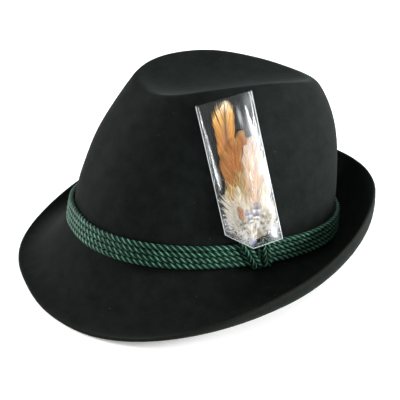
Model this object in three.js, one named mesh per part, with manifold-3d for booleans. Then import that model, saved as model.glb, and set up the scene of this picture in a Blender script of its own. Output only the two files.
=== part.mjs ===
// Tyrolean hat: one felt body with a creased crown and a turned-up brim, a band of four rows of
// green cord, two cord wraps over the band, and a plume in a clear film sleeve behind the wraps.
// Millimetres, +Z up. The front of the hat faces -Y and the wearer's left faces +X.
import * as THREE from 'three';
import { mergeVertices } from 'three/addons/utils/BufferGeometryUtils.js';
import Module from 'manifold-3d';

// The head oval, measured on the outside of the felt at the foot of the crown
const CROWN_HALF_LENGTH = 100;
const CROWN_HALF_WIDTH = 83.4;
const OVAL_SQUARENESS = 2.3;
const FRONT_NARROWING = 0.041;
const FELT = 2.2;

// The dome that the crown is blocked on, before it is creased
const DOME_RISE = 135.5;
const DOME_FALL = 0.166;
const DOME_SQUARENESS = { front: 1.65, side: 3.35, back: 3.49 };
const DOME_SIDE_TAPER = 0.186;
const DOME_END_TAPER = 0.018;
const DOME_FRONT_WIDENING = 0.025;
const DOME_BACK_SHIFT = 8.1;

// The crease pressed into the top of the dome: a long valley with a soft ridge on each side
const CREASE_DEPTH = 32.4;
const CREASE_BACK_RISE = 0.06;
const CREASE_END_RISE = 14;
const CREASE_CENTRE = 0.243;
const CREASE_SIDE_RISE = 40.3;
const RIDGE_BLEND = 6.6;

// The brim. Widths are shares of BRIM_WIDTH and slopes are degrees, negative where it falls away
const BRIM_WIDTH = 60;
const BRIM_FILLET = 5;
const BRIM_BEND = 0.84;
const BRIM_CURL = 4.6;
const BRIM = {
  width: { front: 0.83, frontSide: 0.92, side: 1.0, backSide: 0.793, back: 0.83 },
  rootSlope: { front: -49.5, frontSide: -37.8, side: -25.9, backSide: 9.4, back: 13.8 },
  midSlope: { front: -52.5, frontSide: -44.2, side: 24.4, backSide: 104, back: 98 },
  edgeSlope: { front: 6.4, frontSide: 26.3, side: 98.6, backSide: 100, back: 95 },
};

// The cord band and the two wraps over it, and the gap between pieces that touch
const GAP = 0.3;
const FACET_SAG = 0.1;
const CORD = 3.8;
const BAND_ROWS = 4;
const BAND_LIFT = 0.2;
const WRAP_CORD = 3.5;
const WRAP_STRANDS = 2;
const WRAPS = [
  { name: 'front', topHeading: 86.5, footHeading: 91.2 },
  { name: 'rear', topHeading: 94.9, footHeading: 96.6 },
];

// The clear sleeve leans on the crown with its foot against the wraps. It is full between two
// shares of its length, and its mouth is open by a share of its bulge. The fold takes up a share
// of its length and of its width. Facing, lean and tilt are degrees.
const SLEEVE_WIDTH = 40;
const SLEEVE_LENGTH = 103;
const SLEEVE_BULGE = 3.4;
const SLEEVE_SEAM = 1.6;
const SLEEVE_FILLED = { from: 0.22, to: 0.55, mouth: 0.3 };
const FILM = 0.3;
const SHEET_PARTING = 0.1;
const SLEEVE_HEADING = 89;
const SLEEVE_DIP = 1.3;
const SLEEVE_FACING = -3;
const SLEEVE_LEAN = 14.5;
const SLEEVE_TILT = 12;
const FOLD_UP = 0.15;
const FOLD_ACROSS = 0.47;

// The plume. Places and widths are shares of the sleeve, and lift is how far a lock's front face
// stands up inside it, as a share of the bulge
const FEATHER = 1.1;
const QUILL = 1.8;
const PLUME_FOOT = { across: 0.47, up: 0.075 };
const LOCKS = [
  { across: 0.45, up: 0.955, width: 0.33, lift: 0.15, fullest: 0.72 },
  { across: 0.68, up: 0.75, width: 0.28, lift: 0.35, fullest: 0.7 },
  { across: 0.86, up: 0.6, width: 0.3, lift: 0.25, fullest: 0.62 },
  { across: 0.62, up: 0.47, width: 0.42, lift: 0.5, fullest: 0.6 },
  { across: 0.22, up: 0.4, width: 0.26, lift: 0.3, fullest: 0.6 },
];

// How finely each form is divided
const COLUMNS = 52;
const CROWN_RINGS = 18;
const FILLET_RINGS = 3;
const BRIM_RINGS = 9;
const PROFILE_STEPS = 72;
const LOOP_STEPS = 50;
const WRAP_STEPS = 13;
const CORD_SIDES = 8;
const SLEEVE_COLUMNS = 8;
const SLEEVE_ROWS = 7;
const LOCK_COLUMNS = 4;
const LOCK_ROWS = 7;

const TURN = 2 * Math.PI;
const radians = THREE.MathUtils.degToRad;
const clamp = THREE.MathUtils.clamp;
const smooth = THREE.MathUtils.smoothstep;

const wasm = await Module();
wasm.setup();

function merged(geometry) {
  const plain = geometry.clone();
  for (const name of Object.keys(plain.attributes)) {
    if (name !== 'position') plain.deleteAttribute(name);
  }
  return mergeVertices(plain, 1e-4);
}

function body(points, index) {
  const geometry = new THREE.BufferGeometry();
  geometry.setAttribute('position', new THREE.Float32BufferAttribute(points, 3));
  geometry.setIndex(index);
  geometry.computeVertexNormals();
  return geometry;
}

function toManifold(geometry) {
  const plain = merged(geometry);
  return new wasm.Manifold(new wasm.Mesh({
    numProp: 3,
    vertProperties: new Float32Array(plain.attributes.position.array),
    triVerts: new Uint32Array(plain.index.array),
  }));
}

function fromManifold(solid) {
  const mesh = solid.getMesh();
  return body(Array.from(mesh.vertProperties), Array.from(mesh.triVerts));
}

// Value of a table row at a heading: a smooth curve through its five columns, mirrored across
// the hat's middle. Heading 0 is the front, a quarter turn is the wearer's left, half the back.
function around(row, heading) {
  const columns = [
    row.frontSide, row.front, row.frontSide, row.side, row.backSide, row.back, row.backSide,
  ];
  const wrapped = ((heading % TURN) + TURN) % TURN;
  const place = Math.min(wrapped, TURN - wrapped) / (TURN / 8);
  const i = Math.min(Math.floor(place), 3);
  const f = place - i;
  const [a, b, c, d] = columns.slice(i, i + 4);
  const bend = (2 * a - 5 * b + 4 * c - d) * f * f;
  const twist = (3 * b - a - 3 * c + d) * f * f * f;
  return 0.5 * (2 * b + (c - a) * f + bend + twist);
}

function ovalShare(heading) {
  const c = Math.abs(Math.cos(heading));
  const s = Math.abs(Math.sin(heading));
  return (c ** OVAL_SQUARENESS + s ** OVAL_SQUARENESS) ** (-1 / OVAL_SQUARENESS);
}

// The dome: a superellipse in profile, squarer at the sides and back than at the front.
// climb is 0 at the foot and a quarter turn at the top.
function domePoint(heading, climb) {
  const c = Math.cos(heading);
  const s = Math.sin(heading);
  const { front, side, back } = DOME_SQUARENESS;
  const ends = (front + back) / 4;
  const power = ends + side / 2 + (front - back) / 2 * c + (ends - side / 2) * Math.cos(2 * heading);
  const reach = Math.max(Math.cos(climb), 1e-9);
  const rise = Math.max(Math.sin(climb), 1e-9);
  const radius = (reach ** power + rise ** power) ** (-1 / power);
  const up = Math.min(radius * rise, 1);
  const out = climb > TURN / 4 - 1e-6 ? 0 : radius * reach;
  const square = ovalShare(heading) ** (1 - up);
  const narrowing = FRONT_NARROWING * (1 - up) - DOME_FRONT_WIDENING * up;
  const x = CROWN_HALF_WIDTH * (1 - DOME_SIDE_TAPER * up) * out * s * square * (1 - narrowing * c);
  const y = -CROWN_HALF_LENGTH * (1 - DOME_END_TAPER * up) * out * c * square + DOME_BACK_SHIFT * up;
  return new THREE.Vector3(x, y, (DOME_RISE - DOME_FALL * y) * up);
}

// The crease is a valley surface. The crown is the lower of dome and valley, blended at the ridge.
function creased(point) {
  const along = point.y / CROWN_HALF_LENGTH - CREASE_CENTRE;
  const side = point.x / CROWN_HALF_WIDTH;
  const floor = DOME_RISE - CREASE_DEPTH + CREASE_BACK_RISE * point.y + CREASE_END_RISE * along ** 4;
  const valley = floor + CREASE_SIDE_RISE * side * side;
  const mix = clamp(0.5 + 0.5 * (valley - point.z) / RIDGE_BLEND, 0, 1);
  point.z = valley * (1 - mix) + point.z * mix - RIDGE_BLEND * mix * (1 - mix);
  return point;
}

// Brim profile at a heading: how far out and up the felt has gone, in even steps of its width
const profiles = new Map();
function brimProfile(heading) {
  const key = heading.toFixed(7);
  if (profiles.has(key)) return profiles.get(key);
  const [width, root, mid, edge] = [BRIM.width, BRIM.rootSlope, BRIM.midSlope, BRIM.edgeSlope]
    .map((row) => around(row, heading));
  const fillet = [];
  const turned = radians(root) + TURN / 4;
  for (let k = 0; k <= FILLET_RINGS; k++) {
    const slope = -TURN / 4 + turned * k / FILLET_RINGS;
    fillet.push([BRIM_FILLET * (1 + Math.sin(slope)), -BRIM_FILLET * Math.cos(slope)]);
  }
  const flange = [fillet[FILLET_RINGS]];
  for (let k = 0; k < PROFILE_STEPS; k++) {
    const share = (k + 0.5) / PROFILE_STEPS;
    const slope = radians(root + (mid - root) * share ** BRIM_BEND + (edge - mid) * share ** BRIM_CURL);
    const step = width * BRIM_WIDTH / PROFILE_STEPS;
    const [out, up] = flange[k];
    flange.push([out + Math.cos(slope) * step, up + Math.sin(slope) * step]);
  }
  profiles.set(key, { fillet, flange });
  return profiles.get(key);
}

function brimPoint(heading, [out, up]) {
  const foot = domePoint(heading, 0);
  const lateral = new THREE.Vector2(
    CROWN_HALF_LENGTH * Math.sin(heading), -CROWN_HALF_WIDTH * Math.cos(heading)).normalize();
  return new THREE.Vector3(foot.x + lateral.x * out, foot.y + lateral.y * out, up);
}

// The outer face of the felt as rings, from beside the top to the cut edge of the brim
const RINGS = CROWN_RINGS + FILLET_RINGS + BRIM_RINGS;
function feltPoint(heading, ring) {
  if (ring <= CROWN_RINGS) {
    return creased(domePoint(heading, TURN / 4 * (1 - ring / CROWN_RINGS)));
  }
  const profile = brimProfile(heading);
  const past = ring - CROWN_RINGS;
  const [rows, place] = past <= FILLET_RINGS
    ? [profile.fillet, past]
    : [profile.flange, (past - FILLET_RINGS) / BRIM_RINGS * PROFILE_STEPS];
  const i = Math.min(Math.floor(place), rows.length - 2);
  const f = place - i;
  const between = [0, 1].map((k) => rows[i][k] * (1 - f) + rows[i + 1][k] * f);
  return brimPoint(heading, between);
}

// Outward normal of the felt, from the points a little to each side
const NEARBY = { heading: 0.01, ring: 0.2, climb: 0.02 };
function feltNormal(heading, ring) {
  const side = feltPoint(heading + NEARBY.heading, ring).sub(feltPoint(heading - NEARBY.heading, ring));
  const down = feltPoint(heading, Math.min(ring + NEARBY.ring, RINGS))
    .sub(feltPoint(heading, ring - NEARBY.ring));
  return down.cross(side).normalize();
}

function feltBody() {
  const outer = [];
  const inner = [];
  for (let ring = 1; ring <= RINGS; ring++) {
    for (let column = 0; column < COLUMNS; column++) {
      const heading = TURN * column / COLUMNS;
      const point = feltPoint(heading, ring);
      outer.push(point);
      inner.push(point.clone().addScaledVector(feltNormal(heading, ring), -FELT));
    }
  }
  const top = creased(domePoint(0, TURN / 4));
  const points = [...outer, ...inner, top, top.clone().setZ(top.z - FELT)];
  const size = RINGS * COLUMNS;
  const index = [];
  const at = (layer, ring, column) => layer * size + ring * COLUMNS + column % COLUMNS;
  for (let column = 0; column < COLUMNS; column++) {
    index.push(2 * size, at(0, 0, column), at(0, 0, column + 1));
    index.push(2 * size + 1, at(1, 0, column + 1), at(1, 0, column));
    for (let ring = 0; ring < RINGS - 1; ring++) {
      const [a, b] = [at(0, ring, column), at(0, ring, column + 1)];
      const [c, d] = [at(0, ring + 1, column + 1), at(0, ring + 1, column)];
      index.push(a, d, c, a, c, b);
      index.push(a + size, c + size, d + size, a + size, b + size, c + size);
    }
    const [a, b] = [at(0, RINGS - 1, column), at(0, RINGS - 1, column + 1)];
    index.push(a, a + size, b + size, a, b + size, b);
  }
  return body(points.flatMap((p) => p.toArray()), index);
}

// A place beside the crown's wall: its height above the foot, and how far it stands off the felt
function climbTo(heading, height) {
  let [low, high] = [0, TURN / 4];
  for (let k = 0; k < 40; k++) {
    const middle = (low + high) / 2;
    if (domePoint(heading, middle).z < height) low = middle;
    else high = middle;
  }
  return low;
}

function besideWall(heading, height, off) {
  const climb = climbTo(heading, Math.max(height, 0));
  const side = domePoint(heading + NEARBY.heading, climb)
    .sub(domePoint(heading - NEARBY.heading, climb));
  const up = domePoint(heading, climb + NEARBY.climb).sub(domePoint(heading, climb));
  const normal = side.cross(up).normalize();
  const point = domePoint(heading, climb).setZ(height);
  return point.addScaledVector(normal, off);
}

const ROW_PITCH = CORD + GAP;
const FIRST_ROW = BAND_LIFT + CORD / 2;
const LAST_ROW = FIRST_ROW + (BAND_ROWS - 1) * ROW_PITCH;
const BAND_TOP = LAST_ROW + CORD / 2;
const BAND_OFF = FACET_SAG + GAP + CORD / 2;

function bandRow(height) {
  const points = [];
  for (let k = 0; k < LOOP_STEPS; k++) {
    points.push(besideWall(TURN * k / LOOP_STEPS, height, BAND_OFF));
  }
  const path = new THREE.CatmullRomCurve3(points, true);
  return merged(new THREE.TubeGeometry(path, LOOP_STEPS, CORD / 2, CORD_SIDES, true));
}

// A wrap strand runs over the top row, down the outside of the band and under the bottom row
const WRAP_BEND = CORD / 2 + GAP + WRAP_CORD / 2;
function wrapStrand(wrap, strand) {
  const drop = radians(wrap.footHeading - wrap.topHeading) * CROWN_HALF_LENGTH;
  const slant = Math.atan2(drop, LAST_ROW - FIRST_ROW);
  const beside = (WRAP_CORD + GAP) / Math.cos(slant) / CROWN_HALF_LENGTH;
  const shift = (strand - (WRAP_STRANDS - 1) / 2) * beside;
  const section = [];
  for (const quarter of [1, 2 / 3, 1 / 3, 0]) {
    const angle = quarter * TURN / 4;
    section.push([LAST_ROW + WRAP_BEND * Math.sin(angle), BAND_OFF + WRAP_BEND * Math.cos(angle)]);
  }
  for (const share of [1 / 3, 2 / 3]) {
    section.push([LAST_ROW + (FIRST_ROW - LAST_ROW) * share, BAND_OFF + WRAP_BEND]);
  }
  for (const quarter of [0, 1 / 3, 2 / 3, 1]) {
    const angle = quarter * TURN / 4;
    section.push([FIRST_ROW - WRAP_BEND * Math.sin(angle), BAND_OFF + WRAP_BEND * Math.cos(angle)]);
  }
  const points = section.map(([height, off]) => {
    const fall = clamp((LAST_ROW - height) / (LAST_ROW - FIRST_ROW), -0.2, 1.2);
    const heading = radians(wrap.topHeading + (wrap.footHeading - wrap.topHeading) * fall) + shift;
    return besideWall(heading, height, off);
  });
  const round = new THREE.Shape(
    new THREE.Path().absarc(0, 0, WRAP_CORD / 2, 0, TURN).getSpacedPoints(CORD_SIDES).slice(1));
  return merged(new THREE.ExtrudeGeometry(round, {
    steps: WRAP_STEPS, bevelEnabled: false, extrudePath: new THREE.CatmullRomCurve3(points),
  }));
}

// A closed body between a front and a back sheet, each a function of two numbers from 0 to 1
function slab(columns, rows, front, back) {
  const points = [];
  const index = [];
  for (const sheet of [front, back]) {
    for (let j = 0; j <= rows; j++) {
      for (let i = 0; i <= columns; i++) points.push(...sheet(i / columns, j / rows));
    }
  }
  const size = (columns + 1) * (rows + 1);
  const at = (layer, i, j) => layer * size + j * (columns + 1) + i;
  const quad = (a, b, c, d) => index.push(a, b, c, a, c, d);
  for (let j = 0; j < rows; j++) {
    for (let i = 0; i < columns; i++) {
      quad(at(0, i, j), at(0, i + 1, j), at(0, i + 1, j + 1), at(0, i, j + 1));
      quad(at(1, i, j), at(1, i, j + 1), at(1, i + 1, j + 1), at(1, i + 1, j));
    }
    quad(at(0, 0, j), at(0, 0, j + 1), at(1, 0, j + 1), at(1, 0, j));
    quad(at(1, columns, j), at(1, columns, j + 1), at(0, columns, j + 1), at(0, columns, j));
  }
  for (let i = 0; i < columns; i++) {
    quad(at(1, i, 0), at(1, i + 1, 0), at(0, i + 1, 0), at(0, i, 0));
    quad(at(0, i, rows), at(0, i + 1, rows), at(1, i + 1, rows), at(1, i, rows));
  }
  return body(points, index);
}

// Sleeve frame: x across to the back, y up along the sleeve, z off the crown, origin mid foot.
// The foot's front corner is folded away, so the bottom edge climbs to that side.
function foldedFoot(across) {
  return SLEEVE_LENGTH * FOLD_UP * Math.max(0, 1 - across / FOLD_ACROSS);
}

// Half the depth that the sleeve is filled to at a place in its frame, nothing at its seams
function sleeveBulge(x, y) {
  const across = (x + SLEEVE_WIDTH / 2 - SLEEVE_SEAM) / (SLEEVE_WIDTH - 2 * SLEEVE_SEAM);
  const foot = foldedFoot(x / SLEEVE_WIDTH + 0.5) + SLEEVE_SEAM;
  const share = clamp((y - foot) / (SLEEVE_LENGTH - foot), 0, 1);
  const lens = Math.sqrt(Math.max(0, 1 - (2 * across - 1) ** 2));
  const { from, to, mouth } = SLEEVE_FILLED;
  return SLEEVE_BULGE * lens * smooth(share, 0, from) * (1 - (1 - mouth) * smooth(share, to, 1));
}

function sleeveSolid() {
  const sheet = (side, seam, past, film) => (u, v) => {
    const x = (u - 0.5) * (SLEEVE_WIDTH - 2 * seam);
    const foot = foldedFoot(x / SLEEVE_WIDTH + 0.5) + seam;
    const y = foot + (SLEEVE_LENGTH + past - foot) * v;
    return [x, y, side * (sleeveBulge(x, y) + SHEET_PARTING + film)];
  };
  const closed = (...args) => slab(SLEEVE_COLUMNS, SLEEVE_ROWS, sheet(1, ...args), sheet(-1, ...args));
  const outer = closed(0, 0, FILM);
  const hollow = closed(SLEEVE_SEAM, FILM, 0);
  return fromManifold(toManifold(outer).subtract(toManifold(hollow)));
}

// A lock is a tapered blade from the plume's foot to its tip. All locks share one flat back.
function lockBlade(lock) {
  const foot = [(PLUME_FOOT.across - 0.5) * SLEEVE_WIDTH, PLUME_FOOT.up * SLEEVE_LENGTH];
  const tip = [(lock.across - 0.5) * SLEEVE_WIDTH, lock.up * SLEEVE_LENGTH];
  const place = (u, v) => {
    const fullness = v < lock.fullest
      ? smooth(v, 0, lock.fullest)
      : Math.sqrt(Math.max(0, 1 - ((v - lock.fullest) / (1 - lock.fullest)) ** 2));
    const half = (QUILL + (lock.width * SLEEVE_WIDTH - QUILL) * fullness) / 2;
    return [
      foot[0] + (tip[0] - foot[0]) * v + (2 * u - 1) * half,
      foot[1] + (tip[1] - foot[1]) * v,
    ];
  };
  const front = (u, v) => {
    const [x, y] = place(u, v);
    const crown = 1 - (2 * u - 1) ** 2;
    const lift = lock.lift * SLEEVE_BULGE * crown * smooth(v, 0.02, 0.4) * (1 - smooth(v, 0.5, 1));
    const room = Math.max(sleeveBulge(x, y) - GAP, SHEET_PARTING);
    return [x, y, Math.min(lift + FEATHER / 4, room)];
  };
  return slab(LOCK_COLUMNS, LOCK_ROWS, front, (u, v) => [...place(u, v), -FEATHER / 2]);
}

function plumeSolid() {
  const solids = LOCKS.map((lock) => toManifold(lockBlade(lock)));
  return fromManifold(solids.reduce((joined, next) => joined.add(next)));
}

// The sleeve is turned to its facing, lean and tilt, then moved off the crown until the back of
// its bulge and its foot clear the felt and the wraps by the gap.
function sleevePlacement() {
  const facing = radians(SLEEVE_FACING);
  const lean = radians(SLEEVE_LEAN);
  const off = new THREE.Vector3(
    Math.cos(lean) * Math.cos(facing), Math.cos(lean) * Math.sin(facing), Math.sin(lean));
  const steepest = new THREE.Vector3(
    -Math.sin(lean) * Math.cos(facing), -Math.sin(lean) * Math.sin(facing), Math.cos(lean));
  const up = steepest.applyAxisAngle(off, radians(SLEEVE_TILT));
  const across = up.clone().cross(off);
  const wrapFace = BAND_OFF + WRAP_BEND + WRAP_CORD / 2;
  const foot = besideWall(radians(SLEEVE_HEADING), BAND_TOP - SLEEVE_DIP, wrapFace);
  const footAcross = foot.dot(across);
  const footUp = foot.dot(up);
  let furthest = -Infinity;
  const keepClear = (point) => {
    const x = point.dot(across) - footAcross;
    const y = point.dot(up) - footUp;
    if (Math.abs(x) > SLEEVE_WIDTH / 2 || y < -WRAP_CORD || y > SLEEVE_LENGTH) return;
    const halfDepth = sleeveBulge(x, y) + SHEET_PARTING + FILM;
    furthest = Math.max(furthest, point.dot(off) + halfDepth + GAP);
  };
  for (let heading = 1; heading < 180; heading++) {
    for (let climb = 0; climb < 90; climb++) {
      keepClear(creased(domePoint(radians(heading), radians(climb))));
    }
  }
  for (let heading = WRAPS[0].topHeading; heading <= WRAPS.at(-1).footHeading; heading += 0.5) {
    for (let row = 0; row < BAND_ROWS; row++) {
      keepClear(besideWall(radians(heading), FIRST_ROW + row * ROW_PITCH, wrapFace));
    }
  }
  const origin = across.clone().multiplyScalar(footAcross)
    .addScaledVector(up, footUp).addScaledVector(off, furthest);
  return new THREE.Matrix4().makeBasis(across, up, off).setPosition(origin);
}

const materials = {
  felt: { color: 0x1d2322, roughness: 0.95, metalness: 0 },
  cord: { color: 0x0f4a35, roughness: 0.55, metalness: 0 },
  feather: { color: 0xc98a4b, roughness: 0.8, metalness: 0 },
  film: { color: 0xf2f5f7, roughness: 0.08, metalness: 0, transparent: true, opacity: 0.25 },
};

function piece(name, geometry, finish) {
  const mesh = new THREE.Mesh(geometry, new THREE.MeshStandardMaterial(materials[finish]));
  mesh.name = name;
  return mesh;
}

const hat = new THREE.Group();
const felt = piece('felt_body', feltBody(), 'felt');
hat.add(felt);
for (let row = 0; row < BAND_ROWS; row++) {
  hat.add(piece(`band_cord_${row + 1}`, bandRow(FIRST_ROW + row * ROW_PITCH), 'cord'));
}
for (const wrap of WRAPS) {
  for (let strand = 0; strand < WRAP_STRANDS; strand++) {
    hat.add(piece(`band_wrap_${wrap.name}_${strand + 1}`, wrapStrand(wrap, strand), 'cord'));
  }
}
const sachet = new THREE.Group();
sachet.add(piece('clear_sleeve', sleeveSolid(), 'film'));
sachet.add(piece('plume', plumeSolid(), 'feather'));
sleevePlacement().decompose(sachet.position, sachet.quaternion, sachet.scale);
hat.add(sachet);

// The hat sits as it would by itself, tipped back until the front edge of the brim and the felt
// behind the head opening are level
function restPitch() {
  const places = felt.geometry.attributes.position;
  const sag = (pitch, side) => {
    let lowest = Infinity;
    for (let k = 0; k < places.count; k++) {
      if (places.getY(k) * side <= 0) continue;
      lowest = Math.min(lowest, places.getZ(k) * Math.cos(pitch) - places.getY(k) * Math.sin(pitch));
    }
    return lowest;
  };
  let [low, high] = [-TURN / 12, TURN / 12];
  for (let k = 0; k < 50; k++) {
    const middle = (low + high) / 2;
    if (sag(middle, -1) < sag(middle, 1)) low = middle;
    else high = middle;
  }
  return low;
}
hat.rotation.x = -restPitch();

const tyroleanHat = new THREE.Group();
tyroleanHat.add(hat);
tyroleanHat.updateMatrixWorld(true);
const box = new THREE.Box3().setFromObject(tyroleanHat, true);
hat.position.set(-(box.min.x + box.max.x) / 2, -(box.min.y + box.max.y) / 2, -box.min.z);

export default tyroleanHat;
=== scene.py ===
import math

import bpy
import numpy as np
from mathutils import Matrix, Vector


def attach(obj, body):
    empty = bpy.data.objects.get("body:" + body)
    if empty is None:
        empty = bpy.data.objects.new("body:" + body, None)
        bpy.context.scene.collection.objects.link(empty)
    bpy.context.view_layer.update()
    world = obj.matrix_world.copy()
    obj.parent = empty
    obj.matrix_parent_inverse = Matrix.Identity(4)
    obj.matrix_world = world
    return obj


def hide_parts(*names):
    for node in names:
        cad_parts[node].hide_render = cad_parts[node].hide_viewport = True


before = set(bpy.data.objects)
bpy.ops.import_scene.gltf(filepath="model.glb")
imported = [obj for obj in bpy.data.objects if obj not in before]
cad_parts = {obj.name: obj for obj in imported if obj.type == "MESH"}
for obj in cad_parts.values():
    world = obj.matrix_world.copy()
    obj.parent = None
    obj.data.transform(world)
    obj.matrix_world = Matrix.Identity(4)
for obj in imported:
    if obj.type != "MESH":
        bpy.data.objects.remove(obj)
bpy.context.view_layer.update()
print("CAD pieces:", sorted(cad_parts))

# %% [markdown]
# Millimetres first
#
# A hat maker measures in millimetres, from the foot of the crown and with the head oval level.
# The hat doesn't rest that way: it tips back a little until the brim's front edge and the felt
# behind the head touch the table. Shapes are worked out in the hat's own level frame and turned
# at the very end, which keeps every formula simple.
# %% From the hat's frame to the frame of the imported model
REST_PITCH = math.radians(-7.3256)
REST_PLACE = np.array([0.0, 3.0557, 20.5553])
METRE = 0.001


def tipped(vectors):
    """Directions turned about X by the pitch at rest."""
    c, s = math.cos(REST_PITCH), math.sin(REST_PITCH)
    x, y, z = np.moveaxis(np.asarray(vectors, float), -1, 0)
    return np.stack([x, y * c - z * s, y * s + z * c], -1)


def at_rest(points):
    """Places in the hat's frame, in millimetres, moved to where the hat rests, in metres."""
    return (tipped(points) + REST_PLACE) * METRE


# %% [markdown]
# Meshes from arrays
#
# Every surface here is a grid: rows and columns of points, worked out as one numpy array. Two
# helpers turn grids into objects, so that each piece below needs only its formula.
# %% Grid and mesh helpers
def grid_quads(rows, columns, start=0, across=False, along=False):
    """Quads of a grid of points, closed across its columns or along its rows where asked."""
    r = np.arange(rows if along else rows - 1)[:, None]
    c = np.arange(columns if across else columns - 1)[None, :]
    r2, c2 = (r + 1) % rows, (c + 1) % columns
    quads = np.stack(np.broadcast_arrays(
        r * columns + c, r * columns + c2, r2 * columns + c2, r2 * columns + c), -1)
    return quads.reshape(-1, 4) + start


def make_piece(name, points, faces, material, replaced, values=None):
    """A smooth mesh object on the hat's one body, from points in the hat's frame and lists of faces.

    values gives named numbers for each point, which the material reads by name.
    """
    mesh = bpy.data.meshes.new(name)
    mesh.from_pydata(at_rest(points).tolist(), [], [f for part in faces for f in part.tolist()])
    mesh.validate()
    mesh.shade_smooth()
    for key, numbers in (values or {}).items():
        layer = mesh.attributes.new(key, "FLOAT", "POINT")
        layer.data.foreach_set("value", np.asarray(numbers, np.float32).ravel())
    mesh.materials.append(material)
    piece = bpy.data.objects.new(name, mesh)
    bpy.context.collection.objects.link(piece)
    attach(piece, "root")
    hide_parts(*replaced)
    triangles = sum(len(p.vertices) - 2 for p in mesh.polygons)
    print(f"{name}: {triangles} triangles")


def unit(vectors):
    """Vectors scaled to length one."""
    return vectors / np.maximum(np.linalg.norm(vectors, axis=-1, keepdims=True), 1e-12)


# %% [markdown]
# Materials from nodes
#
# A material here starts as a Principled shader with its plain numbers on its own sockets, and
# patterns are added node by node. Colours are written as the sRGB hex that a screen shows and
# turned linear once. In a Mix node for colours, input 0 is the share, inputs 6 and 7 are the two
# colours and output 2 is the result.
# %% Material helpers
def colour(hex_code):
    """An sRGB hex colour as linear red, green, blue and alpha."""
    parts = [int(hex_code[k:k + 2], 16) / 255 for k in (1, 3, 5)]
    return [p / 12.92 if p <= 0.04045 else ((p + 0.055) / 1.055) ** 2.4 for p in parts] + [1.0]


def new_material(name, **settings):
    """A material and its Principled shader, with the given values on the shader's sockets."""
    material = bpy.data.materials.new(name)
    material.use_nodes = True
    shader = material.node_tree.nodes["Principled BSDF"]
    for socket, value in settings.items():
        shader.inputs[socket.replace("_", " ")].default_value = value
    return material, shader


def add(material, kind, inputs=None, **settings):
    """A node with its settings; each input is wired to a socket, or set to a number or hex colour."""
    tree = material.node_tree
    node = tree.nodes.new(kind)
    for key, value in settings.items():
        if hasattr(node, key):
            setattr(node, key, value)
        else:
            node.inputs[key.replace("_", " ")].default_value = value
    for key, source in (inputs or {}).items():
        if isinstance(source, bpy.types.NodeSocket):
            tree.links.new(source, node.inputs[key])
        else:
            node.inputs[key].default_value = colour(source) if isinstance(source, str) else source
    return node


def link(material, source, target):
    """One wire from an output socket to an input socket."""
    material.node_tree.links.new(source, target)


def per_metre(millimetres):
    """The texture scale that gives a pattern cells of that size on Object coordinates."""
    return 1 / (millimetres * METRE)


# %% [markdown]
# The camera
#
# The photograph was taken from the wearer's front left, a little above, with a long lens. The
# outline of the crown, the brim and the band fixed the place of the camera, and its slight roll.
# Sight lines are worked out in the hat's level frame and tipped with it.
# %% Camera at the photograph's angle
VIEW = {"azimuth": 64.67, "elevation": 24.35, "roll": -3.86, "distance": 640}
PIXELS_PER_MM = 1.2936
SENSOR = 36.0
PICTURE = 400
PICTURE_MIDDLE = (PICTURE - 1) / 2
HAT_AT_PIXEL = (202.4, 215.0)


def camera_axes(azimuth, elevation, roll):
    """Right, up and back of the camera: the usual orbit axes, with right and up turned by roll."""
    a, e, r = (math.radians(v) for v in (azimuth, elevation, roll))
    right = np.array([math.cos(a), math.sin(a), 0])
    up = np.array([-math.sin(a) * math.sin(e), math.cos(a) * math.sin(e), math.cos(e)])
    back = np.array([math.sin(a) * math.cos(e), -math.cos(a) * math.cos(e), math.sin(e)])
    c, s = math.cos(r), math.sin(r)
    return right * c - up * s, right * s + up * c, back


right, up, back = camera_axes(VIEW["azimuth"], VIEW["elevation"], VIEW["roll"])
camera = bpy.data.objects.new("camera", bpy.data.cameras.new("camera"))
bpy.context.collection.objects.link(camera)
camera.data.sensor_width = SENSOR
camera.data.lens = SENSOR * PIXELS_PER_MM * VIEW["distance"] / PICTURE
camera.data.shift_x = (PICTURE_MIDDLE - HAT_AT_PIXEL[0]) / PICTURE
camera.data.shift_y = (HAT_AT_PIXEL[1] - PICTURE_MIDDLE) / PICTURE
pose = np.eye(4)
pose[:3, :3] = tipped(np.array([right, up, back])).T
pose[:3, 3] = at_rest(back * VIEW["distance"])
camera.matrix_world = Matrix(pose.tolist())
bpy.context.scene.camera = camera
print(f"lens {camera.data.lens:.1f} mm, camera {pose[2, 3]:.3f} m above the floor")

# %% [markdown]
# Felt, worked out as one surface
#
# A crown block is a smooth dome. Its plan is a squarish oval that narrows to the front, and its
# side view is a superellipse: blunt at the back, sloping in front. The crease is a second
# surface, a valley, and the crown is whichever of the two lies lower, with a soft blend along
# the ridge. Below, the brim leaves the crown in a small fillet and its slope changes smoothly
# from root to edge, steeply down in front and rolled up behind.
# %% Named sizes of the block and the brim
HALF_LENGTH, HALF_WIDTH = 100.0, 83.4
OVAL_POWER = 2.3
FRONT_NARROWING = 0.041
FELT_THICKNESS = 2.2
DOME = {"rise": 135.5, "fall": 0.166, "front": 1.65, "side": 3.35, "back": 3.49}
TAPER = {"side": 0.186, "end": 0.018, "front": 0.025, "shift": 8.1}
CREASE = {"depth": 32.4, "back_rise": 0.06, "end_rise": 14, "centre": 0.243, "side_rise": 40.3}
RIDGE_BLEND = 6.6
BRIM_WIDTH, BRIM_FILLET = 60.0, 5.0
BRIM_BEND, BRIM_CURL = 0.84, 4.6
BRIM = {
    # columns: front, front side, side, back side, back
    "width": (0.83, 0.92, 1.0, 0.793, 0.83),
    "root": (-49.5, -37.8, -25.9, 9.4, 13.8),
    "middle": (-52.5, -44.2, 24.4, 104, 98),
    "edge": (6.4, 26.3, 98.6, 100, 95),
}
QUARTER = math.pi / 2


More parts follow.
